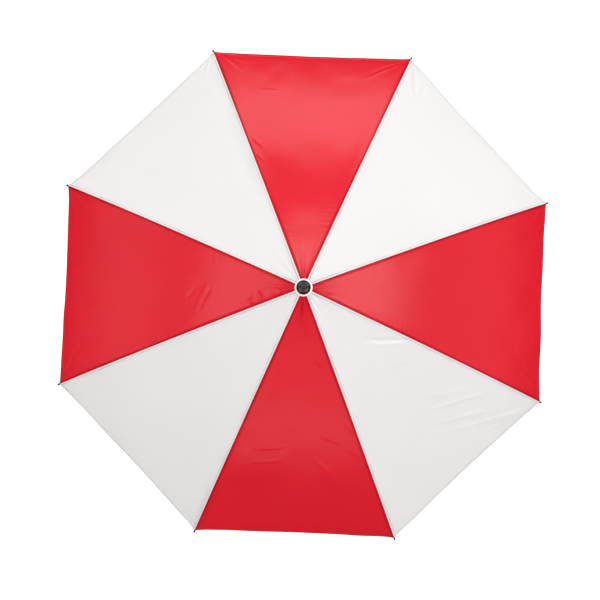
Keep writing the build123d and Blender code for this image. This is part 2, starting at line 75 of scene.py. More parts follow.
TURNED_EXTRA = 0.0005                 # thickness added where the cloth is doubled at a seam
TURNED_EDGE = (0.0060, 0.0070)        # distances from the seam over which it thins out again


# ---- what the frame says ---------------------------------------------------------------------
def joint(name):
    return next(entry for entry in frame["joints"] if entry["name"] == name)


def node_points(name):
    """The points of a CAD node, one per row."""
    mesh = frame["nodes"][name].data
    points = np.zeros(len(mesh.vertices) * 3)
    mesh.vertices.foreach_get("co", points)
    return points.reshape(-1, 3)


class RibArc:
    """The arc that every rib's centreline follows, measured from the CAD rod."""

    def __init__(self):
        rod = node_points("rib_1")
        out, up = np.hypot(rod[:, 0], rod[:, 1]), rod[:, 2]
        table = np.column_stack([2 * out, 2 * up, np.ones(len(out))])
        self.out, self.up, rest = np.linalg.lstsq(table, out ** 2 + up ** 2, rcond=None)[0]
        self.radius = math.sqrt(rest + self.out ** 2 + self.up ** 2)
        pivot = joint("canopy_fold")["pos_m"]
        self.pivot_out = math.hypot(pivot[0], pivot[1])
        self.pivot_up = pivot[2]
        self.root_slope = math.atan2(self.pivot_out - self.out, self.pivot_up - self.up)
        tip = node_points("rib_fittings_1")
        tip_slope = np.arctan2(np.hypot(tip[:, 0], tip[:, 1]) - self.out, tip[:, 2] - self.up).max()
        self.length = (tip_slope - self.root_slope) * self.radius

    def slope(self, station):
        """Angle below level at a station, which is a length along the rib from its pivot."""
        return self.root_slope + station / self.radius

    def point(self, station, lift=0.0):
        """Distance from the shaft's axis, and height."""
        slope = self.slope(station)
        reach = self.radius + lift
        return self.out + reach * np.sin(slope), self.up + reach * np.cos(slope)


rib_arc = RibArc()
CLOTH_END = rib_arc.length - CLOTH_SHORT_OF_TIP


def rib_azimuth(rib):
    pivot = joint("canopy_fold" if rib == 1 else f"rib_fold_{rib}")["pos_m"]
    return math.atan2(pivot[1], pivot[0])


def gore_azimuth(gore):
    """The direction of a gore's middle line, seen from above."""
    return rib_azimuth(gore) - HALF_GORE


def gore_colour(gore):
    return "red" if gore % 2 else "white"


SIDE_NAMES = {1: "left", -1: "right"}


# ---- small numerical helpers -----------------------------------------------------------------
def smooth(value, low, high):
    """0 below low, 1 above high, and a smooth rise between."""
    share = np.clip((value - low) / (high - low), 0.0, 1.0)
    return share * share * (3 - 2 * share)


NOISE_SIDE = 64


def value_noise(x, y, seed):
    """Smooth noise of about unit size, one bump per unit, the same on every run."""
    lattice = np.random.default_rng(seed).uniform(-1.0, 1.0, (NOISE_SIDE, NOISE_SIDE))
    x_floor, y_floor = np.floor(x), np.floor(y)
    x_share = smooth(x - x_floor, 0.0, 1.0)
    y_share = smooth(y - y_floor, 0.0, 1.0)
    column = x_floor.astype(int) % NOISE_SIDE
    row = y_floor.astype(int) % NOISE_SIDE
    next_column = (column + 1) % NOISE_SIDE
    next_row = (row + 1) % NOISE_SIDE
    low = lattice[column, row] * (1 - x_share) + lattice[next_column, row] * x_share
    high = lattice[column, next_row] * (1 - x_share) + lattice[next_column, next_row] * x_share
    return low * (1 - y_share) + high * y_share


# ---- the canopy's surface --------------------------------------------------------------------
# A place on a gore is a station along the rib and a share across, from -1 at one seam, through 0
# at the middle line, to 1 at the other seam.

# Long creases, by gore: station and share of each end, half width, and height. A negative height
# is a valley.
CREASES = {
    1: [(0.72, -0.95, 0.58, -0.55, 0.0045, 0.0006), (0.040, -0.85, 0.060, -0.45, 0.0025, 0.0008)],
    2: [(0.712, 0.92, 0.622, 0.755, 0.0042, -0.0034), (0.712, 0.84, 0.622, 0.67, 0.0040, 0.0018),
        (0.72, -0.90, 0.60, -0.60, 0.0045, 0.0006)],
    3: [(0.72, 0.95, 0.63, 0.70, 0.0035, 0.0010), (0.71, 0.86, 0.67, 0.70, 0.0030, -0.0008),
        (0.72, -0.95, 0.62, -0.55, 0.0045, 0.0008), (0.400, 0.94, 0.365, 0.76, 0.0036, 0.0009),
        (0.350, 0.96, 0.324, 0.84, 0.0030, 0.0010), (0.573, 0.60, 0.569, 0.36, 0.0034, 0.0008)],
    4: [(0.73, -0.93, 0.66, -0.80, 0.0035, 0.0009), (0.72, -0.88, 0.65, -0.70, 0.0030, -0.0008),
        (0.71, -0.80, 0.64, -0.62, 0.0030, 0.0007), (0.72, 0.90, 0.64, 0.60, 0.0040, 0.0006),
        (0.18, -0.74, 0.70, -0.90, 0.0160, -0.0022)],
    5: [(0.022, 0.90, 0.030, 0.20, 0.0022, 0.0017), (0.040, 0.88, 0.047, 0.20, 0.0024, 0.0016),
        (0.052, 0.85, 0.060, 0.40, 0.0020, -0.0010), (0.088, 0.85, 0.100, 0.20, 0.0035, 0.0018),
        (0.108, 0.88, 0.118, 0.40, 0.0030, -0.0012), (0.125, 0.80, 0.110, 0.30, 0.0030, 0.0010),
        (0.234, -0.10, 0.268, 0.68, 0.0048, 0.0019), (0.216, 0.04, 0.248, 0.66, 0.0042, 0.0015),
        (0.292, 0.30, 0.262, 0.00, 0.0040, -0.0009)],
    6: [(0.72, -0.90, 0.60, -0.50, 0.0060, 0.0006), (0.030, 0.60, 0.070, 0.40, 0.0030, 0.0007)],
    7: [(0.004, -0.03, 0.075, -0.12, 0.0020, -0.0030), (0.30, -0.95, 0.34, -0.60, 0.0040, 0.0008),
        (0.44, 0.95, 0.41, 0.75, 0.0035, 0.0009), (0.37, 0.96, 0.345, 0.78, 0.0032, 0.0009),
        (0.33, 0.96, 0.305, 0.80, 0.0030, 0.0007), (0.428, -0.68, 0.412, -0.08, 0.0038, 0.0012),
        (0.472, -0.68, 0.456, -0.18, 0.0034, 0.0010), (0.399, 0.70, 0.368, 0.28, 0.0034, 0.0010),
        (0.500, 0.48, 0.438, 0.18, 0.0040, 0.0008), (0.192, 0.66, 0.160, 0.34, 0.0030, 0.0009)],
    8: [(0.725, 0.94, 0.528, -0.20, 0.0046, 0.0023), (0.720, 0.88, 0.590, 0.06, 0.0040, 0.0018),
        (0.728, 0.90, 0.650, 0.26, 0.0036, 0.0015), (0.625, 0.70, 0.482, -0.18, 0.0050, 0.0020),
        (0.560, 0.82, 0.448, -0.04, 0.0050, 0.0017), (0.518, 0.78, 0.396, 0.00, 0.0045, 0.0012),
        (0.262, 0.94, 0.184, 0.16, 0.0042, -0.0026), (0.278, 0.94, 0.200, 0.10, 0.0036, 0.0010),
        (0.282, 0.20, 0.330, 0.72, 0.0036, 0.0010), (0.090, 0.80, 0.130, 0.40, 0.0050, 0.0008)],
}
CREASE_WANDER = 0.6                   # how far a crease strays, in its own half widths
CREASE_BENDS = 4                      # bends along a crease
CREASE_RISE = (0.0, 0.25)             # shares of its length over which a crease rises,
CREASE_FALL = (0.55, 1.0)             # and dies out
CREASE_SEED = 90

BROAD_HEIGHT = 0.0015                 # slow waves over a whole gore
BROAD_LENGTH = 0.12
BROAD_WIDTH = 0.085
SMALL_HEIGHT = 0.0005                 # smaller waves on top of them
SMALL_LENGTH = 0.050
SMALL_WIDTH = 0.040
WAVES_FROM_SEAM = (0.0, 0.035)        # distances over which the waves grow
WAVES_FROM_HUB = (0.02, 0.15)

FAN_HEIGHT = 0.00045                  # folds that spread from a gore's two outer corners
FAN_REACH = 0.028
FAN_FOLDS = (13, 23)                  # folds per turn of 2 pi radians, of a coarse and a fine fan
FINE_FAN_SHARE = 0.7
FAN_FROM_SEAM = (0.0, 0.012)

PUCKER_HEIGHT = 0.0006                # short folds square to the seams, in patches
PUCKER_PITCH = 0.0125
PUCKER_REACH = 0.013
PUCKER_START = 0.003
PUCKER_PATCH = 0.06
PUCKER_DRIFT = 3                      # how unevenly they are spaced, in radians
PUCKER_DRIFT_LENGTH = 0.04
PUCKERS_FROM_HUB = (0.03, 0.10)

GATHER_HEIGHT = 0.0007                # the cloth gathered around the hub
GATHER_REACH = 0.06
GATHER_FOLDS = 3.2

RIDGE_REACH = 0.010                   # how far the ridge over a rib spreads to each side
RIDGE_FROM_HUB = (0.010, 0.050)
TURNED_STEP = 0.0004                  # the step where hem or seam allowance ends underneath
HEM_STEP = (HEM_WIDTH - 0.0004, HEM_WIDTH + 0.0005)
ALLOWANCE_STEP = (SEAM_ALLOWANCE - 0.0006, SEAM_ALLOWANCE + 0.0008)
SEAM_STEP_REACH = 0.0016
TIP_DROP = 0.0009                     # the hem pulled down by its ties near the tips
TIP_DROP_STATIONS = (CLOTH_END - 0.035, CLOTH_END - 0.004)


def half_width(station):
    """Half the width of a flat gore, from its middle line to its seam."""
    return rib_arc.point(station)[0] * math.sin(HALF_GORE)


def crease_height(gore, station, across):
    """The height of a gore's long creases at a station and a distance across."""
    height = np.zeros_like(station)
    for start_station, start_share, end_station, end_share, width, rise in CREASES[gore]:
        start = np.array([start_station, start_share * half_width(start_station)])
        run = np.array([end_station, end_share * half_width(end_station)]) - start
        along = ((station - start[0]) * run[0] + (across - start[1]) * run[1]) / (run @ run)
        aside = ((station - start[0]) * run[1] - (across - start[1]) * run[0]) / math.hypot(*run)
        stray = value_noise(along * CREASE_BENDS, np.zeros_like(along), CREASE_SEED + gore)
        aside = aside + CREASE_WANDER * width * stray
        ends = smooth(along, *CREASE_RISE) * (1 - smooth(along, *CREASE_FALL))
        height += rise * ends * np.exp(-(aside / width) ** 2)
    return height


def wave_height(station, across, seam_distance, seed):
    """Slow waves, stilled near the seams and the hub."""
    height = BROAD_HEIGHT * value_noise(station / BROAD_LENGTH + 3, across / BROAD_WIDTH + 9, seed)
    height += SMALL_HEIGHT * value_noise(station / SMALL_LENGTH, across / SMALL_WIDTH + 7, seed + 1)
    return height * smooth(seam_distance, *WAVES_FROM_SEAM) * smooth(station, *WAVES_FROM_HUB)


def fan_height(gore, station, share, across, seam_distance):
    """Folds that spread from the tip where the hem meets the seam."""
    corner_down = CLOTH_END - station
    corner_in = half_width(CLOTH_END) - np.abs(across)
    corner_reach = np.hypot(corner_down, corner_in)
    turn = np.arctan2(corner_in, corner_down)
    phase = 2.0 * gore + np.sign(share)
    coarse, fine = FAN_FOLDS
    fan = np.cos(turn * coarse + phase) + FINE_FAN_SHARE * np.cos(turn * fine - phase)
    window = corner_reach / FAN_REACH * np.exp(1 - corner_reach / FAN_REACH)
    return FAN_HEIGHT * fan * window * smooth(seam_distance, *FAN_FROM_SEAM)


def pucker_height(station, share, seam_distance, seed):
    """Short folds beside the seams, where the thread draws the cloth in."""
    patches = smooth(value_noise(station / PUCKER_PATCH, np.sign(share) * 5.5, seed + 2), -0.1, 0.6)
    stray = value_noise(station / PUCKER_DRIFT_LENGTH, np.zeros_like(share), seed + 3)
    wave = np.sin(station / PUCKER_PITCH * 2 * math.pi + PUCKER_DRIFT * stray)
    beside = np.exp(-seam_distance / PUCKER_REACH) * (1 - np.exp(-seam_distance / PUCKER_START))
    return PUCKER_HEIGHT * patches * wave * beside * smooth(station, *PUCKERS_FROM_HUB)


def seam_and_hem_height(gore, station, seam_distance, hem_distance):
    """The ridge over the rib, and the steps where the turned cloth ends."""
    height = SEAM_RIDGE * np.exp(-seam_distance / RIDGE_REACH) * smooth(station, *RIDGE_FROM_HUB)
    height += TURNED_STEP * (1 - smooth(hem_distance, *HEM_STEP))
    height += TURNED_STEP * (1 - smooth(seam_distance, *ALLOWANCE_STEP))
    if gore_colour(gore) == "red":
        height -= SEAM_STEP * np.exp(-(seam_distance / SEAM_STEP_REACH) ** 2)
    return height


def relief(gore, station, share):
    """How far the cloth stands above its smooth shape: wrinkles, seams and the hem."""
    wide = half_width(station)
    across = share * wide
    seam_distance = wide - np.abs(across)
    hem_distance = hem_station(share) - station
    seed = 10 * gore
    gathers = np.sin(GATHER_FOLDS * math.pi * share + gore) * (1 - share ** 2)
    height = wave_height(station, across, seam_distance, seed)
    height += fan_height(gore, station, share, across, seam_distance)
    height += pucker_height(station, share, seam_distance, seed)
    height += GATHER_HEIGHT * np.exp(-station / GATHER_REACH) * gathers
    height += crease_height(gore, station, across)
    height += seam_and_hem_height(gore, station, seam_distance, hem_distance)
    height -= TIP_DROP * smooth(station, *TIP_DROP_STATIONS)
    return height


def hem_station(share):
    """Where the hem lies: furthest out at the two seams."""
    return CLOTH_END - HEM_HOLLOW * (1 - share ** 2)


def cloth_points(gore, station, share, offset=0.0):
    """Points of a gore's outer face, in the row's frame, moved squarely out by an offset."""
    out, up = rib_arc.point(station, CLOTH_LIFT)
    up = up + HUB_LIFT * np.exp(-(station - CLOTH_START) / HUB_FADE)
    slope = rib_arc.slope(station)
    depth = SAG * (np.maximum(station, 0) / CLOTH_END) ** 2 * (1 - share ** 2)
    raised = relief(gore, station, share) - depth + offset
    local_x = out * math.cos(HALF_GORE) + raised * np.sin(slope)
    local_y = share * out * math.sin(HALF_GORE)
    local_z = up + raised * np.cos(slope)
    azimuth = gore_azimuth(gore)
    x = local_x * math.cos(azimuth) - local_y * math.sin(azimuth)
    y = local_x * math.sin(azimuth) + local_y * math.cos(azimuth)
    return np.stack([x, y, local_z], axis=-1)


COLUMNS = 36
COLUMN_CROWDING = 1.7                 # columns stand closer together towards the seam
ROW_PITCH = 0.0042
# The last rows, by their distance from the hem.
HEM_ROWS = (0.0120, 0.0100, 0.0090, 0.0085, 0.0080, 0.0060, 0.0035, 0.0012, 0.0003, 0.0)


def half_gore_grid(side):
    """Stations and shares of the grid's points, with one extra column past the middle line."""
    fine = np.linspace(0.0, 1.0, COLUMNS + 1)
    shares = 1 - (1 - fine) ** COLUMN_CROWDING
    shares = np.concatenate([[-shares[1]], shares]) * side
    long_part = CLOTH_END - HEM_ROWS[0] - CLOTH_START
    row_count = int(long_part / ROW_PITCH)
    down = np.linspace(0.0, 1.0, row_count, endpoint=False)
    ends = hem_station(shares)[None, :]
    upper = CLOTH_START + down[:, None] * (ends - HEM_ROWS[0] - CLOTH_START)
    lower = ends - np.array(HEM_ROWS)[:, None]
    stations = np.concatenate([upper, lower])
    return stations, np.broadcast_to(shares, stations.shape)


def new_object(name, points, faces, material):
    """A mesh object with one material."""
    mesh = bpy.data.meshes.new(name)
    mesh.from_pydata(np.asarray(points).reshape(-1, 3).tolist(), [], faces)
    mesh.materials.append(material)
    piece = bpy.data.objects.new(name, mesh)
    bpy.context.scene.collection.objects.link(piece)
    return piece


def grid_faces(rows, columns, first=0, flip=False):
    """Quads over a grid of points that is numbered row by row."""
    faces = []
    for row in range(rows - 1):
        for column in range(columns - 1):
            corner = first + row * columns + column
            quad = (corner, corner + 1, corner + columns + 1, corner + columns)
            faces.append(quad[::-1] if flip else quad)
    return faces


def closed_sheet_faces(rows, columns, flip):
    """Faces of a thin closed sheet: a grid, the same grid again below it, and walls around."""
    count = rows * columns
    faces = grid_faces(rows, columns, 0, flip) + grid_faces(rows, columns, count, not flip)
    rim = [row * columns for row in range(rows)]
    rim += [(rows - 1) * columns + column for column in range(1, columns)]
    rim += [row * columns + columns - 1 for row in range(rows - 2, -1, -1)]
    rim += [column for column in range(columns - 2, 0, -1)]
    for here, there in zip(rim, rim[1:] + rim[:1]):
        wall = (here, there, there + count, here + count)
        faces.append(wall[::-1] if flip else wall)
    return faces


def set_weights(piece):
    """Bakes the piece's placement into its points.
    """
    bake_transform(piece)


def half_gore_surface(gore, side):
    """Stations, shares, points and normals of a half gore's outer face."""
    stations, shares = half_gore_grid(side)
    wide = cloth_points(gore, stations, shares)
    along = np.gradient(wide, axis=0)
    across = np.gradient(wide, axis=1)
    normals = np.cross(along, across) * side
    normals /= np.linalg.norm(normals, axis=-1, keepdims=True)
    return stations[:, 1:], shares[:, 1:], wide[:, 1:], normals[:, 1:]


def set_sheet_normals(mesh, normals, place, outer):
    """Shades a sheet by its true normals, so that the two halves of a gore look like one."""
    corner_normals = np.where(outer[:, None], 1.0, -1.0) * normals.reshape(-1, 3)[place]
    rows, columns = normals.shape[:2]
    sheet_faces = 2 * (rows - 1) * (columns - 1)
    corner_normals[4 * sheet_faces:] = 0.0
    mesh.normals_split_custom_set(corner_normals.tolist())


def add_map(mesh, name, first, second, place):
    """A pair of lengths at every corner of the mesh, for the material to read."""
    layer = mesh.uv_layers.new(name=name)
    layer.data.foreach_set("uv", np.column_stack([first.ravel()[place], second.ravel()[place]]).ravel())


def half_gore_piece(gore, side, material):
    """Half of one gore as a closed thin sheet, shaded as one surface with its other half."""
    stations, shares, top, normals = half_gore_surface(gore, side)
    wide = half_width(stations)
    seam_distance = (1 - np.abs(shares)) * wide
    doubled = 1 - smooth(seam_distance, *TURNED_EDGE)
    bottom = top - normals * (CLOTH_THICKNESS + TURNED_EXTRA * doubled)[..., None]
    count = stations.size
    points = np.concatenate([top.reshape(-1, 3), bottom.reshape(-1, 3)])
    faces = closed_sheet_faces(*stations.shape, flip=side == 1)
    name = f"canopy_{gore_colour(gore)}_{gore}_{SIDE_NAMES[side]}"
    piece = new_object(name, points, faces, material)
    mesh = piece.data
    mesh.shade_smooth()

    corner_points = np.zeros(len(mesh.loops), int)
    mesh.loops.foreach_get("vertex_index", corner_points)
    place = corner_points % count
    set_sheet_normals(mesh, normals, place, corner_points < count)
    add_map(mesh, "sheet", shares * wide, stations, place)
    add_map(mesh, "edges", seam_distance, hem_station(shares) - stations, place)

    flap_body = f"{gore_colour(gore)}_gore_{gore}_{SIDE_NAMES[side]}"
    set_weights(piece)
    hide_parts(flap_body)
    return piece


# ---- thread ----------------------------------------------------------------------------------
STITCH_RINGS = ((-0.5, 0.35), (-0.3, 1.0), (0.3, 1.0), (0.5, 0.35))   # place along, and width
STITCH_SIDES = 5
HEM_STITCH = {"pitch": 0.0036, "length": 0.0026, "radius": 0.00022}
HEM_STITCH_INSET = 0.0015             # from the inner edge of the hem
HEM_STITCH_LIFT = 0.00012
SEAM_STITCH = {"pitch": 0.0042, "length": 0.0032, "radius": 0.00025}
SEAM_STITCH_ASIDE = 0.0032            # beside the rib's centreline
SEAM_STITCH_DROP = 0.0021             # below the cloth's outer face
SEAM_STITCH_START = 0.03              # along the rib
SEAM_STITCH_SHORT_OF_HEM = 0.012


def stitches(name, starts, ends, radius, material):
    """A row of separate stitches, each a short rounded bar from its start to its end."""
    middles, runs = (starts + ends) / 2, ends - starts
    sideways = np.cross(runs, [0.0, 0.0, 1.0])
    sideways /= np.linalg.norm(sideways, axis=1, keepdims=True)
    lifts = np.cross(runs, sideways)
    lifts /= np.linalg.norm(lifts, axis=1, keepdims=True)
    points, faces = [], []
    for middle, run, aside, lift in zip(middles, runs, sideways, lifts):
        first = len(points)
        for share, width in STITCH_RINGS:
            for step in range(STITCH_SIDES):
                turn = 2 * math.pi * step / STITCH_SIDES
                ring = aside * math.cos(turn) + lift * math.sin(turn)
                points.append(middle + run * share + ring * radius * width)
        for ring in range(len(STITCH_RINGS) - 1):
            for step in range(STITCH_SIDES):
                here = first + ring * STITCH_SIDES + step
                there = first + ring * STITCH_SIDES + (step + 1) % STITCH_SIDES
                faces.append((here, there, there + STITCH_SIDES, here + STITCH_SIDES))
        last = first + (len(STITCH_RINGS) - 1) * STITCH_SIDES
        faces.append(tuple(first + step for step in range(STITCH_SIDES))[::-1])
        faces.append(tuple(last + step for step in range(STITCH_SIDES)))
    piece = new_object(name, points, faces, material)
    piece.data.shade_smooth()
    return piece


def hem_stitches(gore, side, material):
    """The line of stitches that holds the hem, following the cloth's shape."""
    edge = half_width(CLOTH_END)
    count = int(edge / HEM_STITCH["pitch"])
    middles = (np.arange(count) + 0.5) / count
    reach = HEM_STITCH["length"] / 2 / edge
    rows = []
    for shift in (-reach, reach):
        shares = np.clip(middles + shift, 0, 1) * side
        stations = hem_station(shares) - HEM_WIDTH + HEM_STITCH_INSET
        rows.append(cloth_points(gore, stations, shares, HEM_STITCH_LIFT))
    name = f"hem_thread_{gore}_{SIDE_NAMES[side]}"
    piece = stitches(name, rows[0], rows[1], HEM_STITCH["radius"], material)
    set_weights(piece)
    return piece


def rib_frame(rib, station, lift, aside=0.0):
    """A place by a rib: station along it, lift square above it, and aside across it."""
    azimuth = rib_azimuth(rib)
    out, up = rib_arc.point(np.asarray(station, float), lift)
    x = out * math.cos(azimuth) - aside * math.sin(azimuth)
    y = out * math.sin(azimuth) + aside * math.cos(azimuth)
    return np.stack(np.broadcast_arrays(x, y, up), axis=-1)


def seam_stitches(rib, material):
    """The chain of stitches along a seam, seen from below beside the rib."""
    last = CLOTH_END - SEAM_STITCH_SHORT_OF_HEM
    stations = np.arange(SEAM_STITCH_START, last, SEAM_STITCH["pitch"])
    half_length = SEAM_STITCH["length"] / 2
    lift = CLOTH_LIFT - SEAM_STITCH_DROP
    starts = rib_frame(rib, stations - half_length, lift, SEAM_STITCH_ASIDE)
    ends = rib_frame(rib, stations + half_length, lift, SEAM_STITCH_ASIDE)
    piece = stitches(f"seam_thread_{rib}", starts, ends, SEAM_STITCH["radius"], material)
    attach(piece, f"rib_{rib}")
    return piece


TUBE_SIDES = 6
TUBE_UP = (0.13, 0.21, 0.97)          # a direction that no thread runs along


def tube_along(points, radius):
    """Points and faces of a round tube along a path, closed at both ends."""
    points = np.asarray(points)
    runs = np.gradient(points, axis=0)
    runs /= np.linalg.norm(runs, axis=1, keepdims=True)
    ring_points, faces = [], []
    for point, run in zip(points, runs):
        aside = np.cross(run, TUBE_UP)
        aside /= np.linalg.norm(aside)
        lift = np.cross(run, aside)
        for step in range(TUBE_SIDES):
            turn = 2 * math.pi * step / TUBE_SIDES
            ring_points.append(point + radius * (aside * math.cos(turn) + lift * math.sin(turn)))
    for ring in range(len(points) - 1):
        for step in range(TUBE_SIDES):
            here = ring * TUBE_SIDES + step
            there = ring * TUBE_SIDES + (step + 1) % TUBE_SIDES
            faces.append((here, there, there + TUBE_SIDES, here + TUBE_SIDES))
    last = (len(points) - 1) * TUBE_SIDES
    faces.append(tuple(range(TUBE_SIDES))[::-1])
    faces.append(tuple(last + step for step in range(TUBE_SIDES)))
    return ring_points, faces


def joined(name, parts, material):
    """One object from several lists of points and faces."""
    points, faces = [], []
    for part_points, part_faces in parts:
        first = len(points)
        points += list(part_points)
        faces += [tuple(index + first for index in face) for face in part_faces]
    piece = new_object(name, points, faces, material)
    piece.data.shade_smooth()
    return piece


# Thread loops around a rib: how high the loop's middle is, its half height and its half width.
RIB_TIE_STATIONS = (0.18, 0.46, 0.60)
RIB_TIE_TURNS = (-0.0008, 0.0, 0.0008)
RIB_TIE_LOOP = (0.0008, 0.0031, 0.0025)
RIB_TIE_THREAD = 0.0003
LASHING_STATION = CLOTH_END - 0.006
LASHING_TURNS = (0.0, 0.0009, 0.0018, 0.0027)
LASHING_LOOP = (0.0007, 0.0036, 0.0031)
LASHING_THREAD = 0.0004
LOOP_POINTS = 25


def thread_loop(rib, station, loop, radius):
    """One loop of thread around a rib, as a tube's points and faces."""
    middle, half_height, half_across = loop
    turns = np.linspace(0, 2 * math.pi, LOOP_POINTS)
    lifts = middle + half_height * np.cos(turns)
    asides = half_across * np.sin(turns)
    path = [rib_frame(rib, station, lift, aside) for lift, aside in zip(lifts, asides)]
    return tube_along(path, radius)


def rib_ties(rib, material):
    """Thread loops that tie the seam to the rib, and the lashing at the rib's tip."""
    loops = []
    for station in RIB_TIE_STATIONS:
        for shift in RIB_TIE_TURNS:
            loops.append(thread_loop(rib, station + shift, RIB_TIE_LOOP, RIB_TIE_THREAD))
    for shift in LASHING_TURNS:
        loops.append(thread_loop(rib, LASHING_STATION + shift, LASHING_LOOP, LASHING_THREAD))
    piece = joined(f"rib_ties_{rib}", loops, material)
    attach(piece, f"rib_{rib}")
    return piece


# ---- the tie strap ---------------------------------------------------------------------------
STRAP_RIB = 6
STRAP_HALF_WIDTH = 0.0088
STRAP_HALF_THICKNESS = 0.00055
STRAP_ROWS = 64
STRAP_COLUMNS = 13
STRAP_TONGUE = 0.06                   # share of the length that the rounded end takes
STRAP_TONGUE_END = 0.04               # square of the width left at the very end
STRAP_TWIST = 0.0005                  # its edges rise and fall in turn,
STRAP_TWIST_TURNS = 11                # through this many radians along the band
STRAP_WAVE = 0.0004                   # and its middle waves
STRAP_WAVE_TURNS = 17
STRAP_EDGE_ROLL = 0.00015             # how much lower each face is inside the turned edges
STRAP_ROLL_SHARES = (0.75, 0.95)      # of the half width, where the turned edges begin


def strap_path():
    """Stations of the band's two ends along its rib, and its lift over the rib's centreline."""
    band = node_points("tie_strap")
    out = np.hypot(band[:, 0], band[:, 1]) - rib_arc.out
    up = band[:, 2] - rib_arc.up
    slopes = np.arctan2(out, up)
    start = (slopes.min() - rib_arc.root_slope) * rib_arc.radius
    end = (slopes.max() - rib_arc.root_slope) * rib_arc.radius
    return start, end, np.hypot(out, up).mean() - rib_arc.radius


def tie_strap(material):
    """A doubled band of cloth that hangs loosely along its rib, with turned and sewn edges."""
    start, end, lift = strap_path()
    down = np.linspace(0, 1, STRAP_ROWS)[:, None]
    side = np.linspace(-1, 1, STRAP_COLUMNS)[None, :]
    stations = np.broadcast_to(start + down * (end - start), (STRAP_ROWS, STRAP_COLUMNS))
    past = np.clip(down - (1 - STRAP_TONGUE), 0, 1) / STRAP_TONGUE
    asides = side * STRAP_HALF_WIDTH * np.sqrt(np.clip(1 - past ** 2, STRAP_TONGUE_END, 1))
    waves = STRAP_TWIST * np.sin(down * STRAP_TWIST_TURNS) * side
    waves = waves + STRAP_WAVE * np.cos(down * STRAP_WAVE_TURNS)
    edge_roll = STRAP_EDGE_ROLL * (1 - smooth(np.abs(side), *STRAP_ROLL_SHARES))
    layers = []
    for face in (1, -1):
        lifts = lift + waves + face * (STRAP_HALF_THICKNESS - edge_roll)
        layers.append(rib_frame(STRAP_RIB, stations, lifts, asides).reshape(-1, 3))
    faces = closed_sheet_faces(STRAP_ROWS, STRAP_COLUMNS, flip=True)
    piece = new_object("tie_strap_band", np.concatenate(layers), faces, material)
    piece.data.shade_smooth()
    rounding = piece.modifiers.new("rounding", "SUBSURF")
    rounding.levels = 1
    rounding.render_levels = 1
    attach(piece, f"rib_{STRAP_RIB}")
    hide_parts("tie_strap")
    return piece


# ---- materials -------------------------------------------------------------------------------
def colour(red, green, blue):
    return (red, green, blue, 1.0)


def shade(base, factor, lift=0.0):
    """The colour made darker or lighter by a factor, and then lifted a little."""
    return tuple(min(1.0, part * factor + lift) for part in base[:3]) + (1.0,)


class Material:
    """A node material that is built step by step around one shader."""

    def __init__(self, name, base, roughness, **inputs):
        self.material = bpy.data.materials.new(name)
        self.material.use_nodes = True
        self.tree = self.material.node_tree
        self.shader = self.tree.nodes["Principled BSDF"]
        self.shader.inputs["Base Color"].default_value = base
        self.shader.inputs["Roughness"].default_value = roughness
        for key, value in inputs.items():
            self.shader.inputs[key.replace("_", " ")].default_value = value

    def node(self, kind, **values):
        node = self.tree.nodes.new(kind)
        for key, value in values.items():
            if key in node.inputs:
                node.inputs[key].default_value = value
            else:
                setattr(node, key, value)
        return node

    def link(self, source, target):
        self.tree.links.new(source, target)

    def texture(self, kind, output, **values):
        """A texture laid on the object's own coordinates."""
        texture = self.node(kind, **values)
        self.link(self.node("ShaderNodeTexCoord").outputs["Object"], texture.inputs["Vector"])
        return texture.outputs[output]

    def noise(self, scale, detail=3.0):
        return self.texture("ShaderNodeTexNoise", "Fac", Scale=scale, Detail=detail)

    def spread(self, value, low, high, start=0.3, end=0.7):
        """The value, taken from start..end to low..high."""
        spread = self.node("ShaderNodeMapRange")
        self.link(value, spread.inputs["Value"])
        spread.inputs["From Min"].default_value = start
        spread.inputs["From Max"].default_value = end
        spread.inputs["To Min"].default_value = low
        spread.inputs["To Max"].default_value = high
        return spread.outputs["Result"]

    def maths(self, operation, first, second=0.0):
        node = self.node("ShaderNodeMath", operation=operation)
        for socket, value in zip(node.inputs, (first, second)):
            if isinstance(value, (int, float)):
                socket.default_value = value
            else:
                self.link(value, socket)
        return node.outputs[0]

    def mix(self, share, first, second):
        """The first colour, mixed with a share of the second."""
        mix = self.node("ShaderNodeMix", data_type="RGBA")
        for socket, value in ((mix.inputs[0], share), (mix.inputs[6], first), (mix.inputs[7], second)):
            if isinstance(value, (int, float, tuple)):
                socket.default_value = value
            else:
                self.link(value, socket)
        return mix.outputs[2]

    def bump(self, height, strength, distance, below=None):
        """Raises the surface by a height, over an earlier bump if one is given."""
        bump = self.node("ShaderNodeBump", Strength=strength, Distance=distance)
        self.link(height, bump.inputs["Height"])
        if below is not None:
            self.link(below, bump.inputs["Normal"])
        self.link(bump.outputs["Normal"], self.shader.inputs["Normal"])
        return bump.outputs["Normal"]

    def colour_from(self, socket):
        self.link(socket, self.shader.inputs["Base Color"])

    def roughness_from(self, socket):
        self.link(socket, self.shader.inputs["Roughness"])
